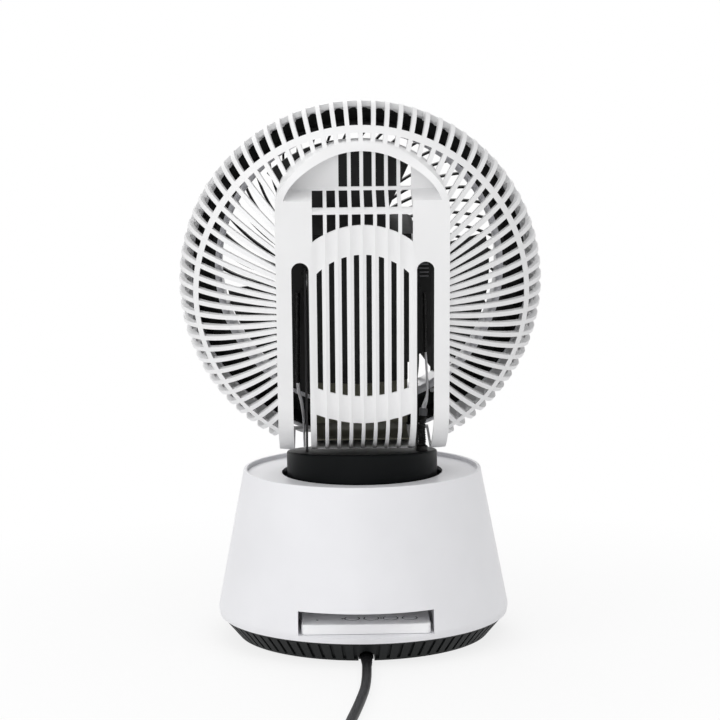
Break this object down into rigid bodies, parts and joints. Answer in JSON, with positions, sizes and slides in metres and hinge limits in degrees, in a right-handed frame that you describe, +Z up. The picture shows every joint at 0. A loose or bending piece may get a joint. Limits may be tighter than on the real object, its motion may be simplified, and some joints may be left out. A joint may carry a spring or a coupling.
{
  "type": "air circulator fan",
  "caption": "Table fan that circulates air: a ribbed round head with a slotted back spine tilts and swings on a tapered round base with a remote stowed at the back.",
  "frame": {"origin": "centre of the base on the surface it stands on", "axes": "+Z up; the fan blows towards -Y, and the remote and the cord are at the back, on +Y; the head's rest tilt is 8 degrees face up"},
  "size_m": [0.25, 0.5025, 0.3722],
  "materials": {
    "shell_white": "satin white",
    "guard_white": "satin white",
    "button_white": "gloss white",
    "remote_white": "satin white",
    "key_white": "satin",
    "duct_white": "satin",
    "baffle_grey": "satin",
    "collar_grey": "satin",
    "shroud_black": "matte",
    "grille_grey": "matte",
    "blade_smoke": "gloss",
    "frame_grey": "matte",
    "motor_steel": "zinc plated",
    "steel": "brushed",
    "iron": "rough",
    "pad_rubber": "matte",
    "cord_black": "satin",
    "plug_black": "satin",
    "pin_brass": "polished",
    "board": "matte",
    "window_dark": "gloss"
  },
  "bodies": {
    "base": {"base_shell": "shell_white", "base_pan": "shell_white", "foot_pads": "pad_rubber", "ballast": "iron", "remote_tray": "shell_white", "swing_plate": "shell_white", "swing_motor": "motor_steel", "control_board": "board", "signal_window": "window_dark", "cord_gland": "cord_black", "cord": "cord_black", "cord_coil": "cord_black", "plug": "plug_black", "plug_pins": "pin_brass"},
    "button_power": {"button_power": "button_white"},
    "button_speed": {"button_speed": "button_white"},
    "button_swing": {"button_swing": "button_white"},
    "button_timer": {"button_timer": "button_white"},
    "swivel": {"collar": "collar_grey", "swing_shaft": "steel", "yoke": "steel", "cable_sleeve": "collar_grey"},
    "head": {"rear_guard": "guard_white", "spine_cover": "guard_white", "front_bezel": "shell_white", "front_grille": "grille_grey", "grille_cap": "shell_white", "duct_ring": "duct_white", "duct_shroud": "shroud_black", "lower_baffle": "baffle_grey", "motor_frame": "frame_grey", "motor_body": "motor_steel", "tilt_pins": "steel", "tilt_washers": "steel"},
    "rotor": {"fan_blades": "blade_smoke", "motor_shaft": "steel", "blade_nut": "blade_smoke"},
    "remote": {"remote_body": "remote_white", "cell_tray": "remote_white", "button_cell": "steel"},
    "remote_key_1": {"remote_key_1": "key_white"},
    "remote_key_2": {"remote_key_2": "key_white"},
    "remote_key_3": {"remote_key_3": "key_white"},
    "remote_key_4": {"remote_key_4": "key_white"}
  },
  "joints": [
    {"name": "swing", "type": "hinge", "parent": "base", "child": "swivel", "pos_m": [0, 0, 0.103], "axis": [0, 0, 1], "range_deg": [-45, 45]},
    {"name": "tilt", "type": "hinge", "parent": "swivel", "child": "head", "pos_m": [0, 0, 0.248], "axis": [-1, 0, 0], "range_deg": [-8, 82]},
    {"name": "spin", "type": "hinge", "parent": "head", "child": "rotor", "pos_m": [0, 0, 0.248], "axis": [0, 0.9903, -0.1392], "continuous": true},
    {"name": "remote_out", "type": "slide", "parent": "base", "child": "remote", "axis": [0, 1, 0], "range_m": [0, 0.06]},
    {"name": "press_power", "type": "slide", "parent": "base", "child": "button_power", "axis": [0, 1, 0], "range_m": [0, 0.0008], "stiffness_N_per_m": 400},
    {"name": "press_speed", "type": "slide", "parent": "base", "child": "button_speed", "axis": [0, 1, 0], "range_m": [0, 0.0008], "stiffness_N_per_m": 400},
    {"name": "press_swing", "type": "slide", "parent": "base", "child": "button_swing", "axis": [0, 1, 0], "range_m": [0, 0.0008], "stiffness_N_per_m": 400},
    {"name": "press_timer", "type": "slide", "parent": "base", "child": "button_timer", "axis": [0, 1, 0], "range_m": [0, 0.0008], "stiffness_N_per_m": 400},
    {"name": "press_key_1", "type": "slide", "parent": "remote", "child": "remote_key_1", "axis": [0, 0, -1], "range_m": [0, 0.0004], "stiffness_N_per_m": 300},
    {"name": "press_key_2", "type": "slide", "parent": "remote", "child": "remote_key_2", "axis": [0, 0, -1], "range_m": [0, 0.0004], "stiffness_N_per_m": 300},
    {"name": "press_key_3", "type": "slide", "parent": "remote", "child": "remote_key_3", "axis": [0, 0, -1], "range_m": [0, 0.0004], "stiffness_N_per_m": 300},
    {"name": "press_key_4", "type": "slide", "parent": "remote", "child": "remote_key_4", "axis": [0, 0, -1], "range_m": [0, 0.0004], "stiffness_N_per_m": 300}
  ]
}
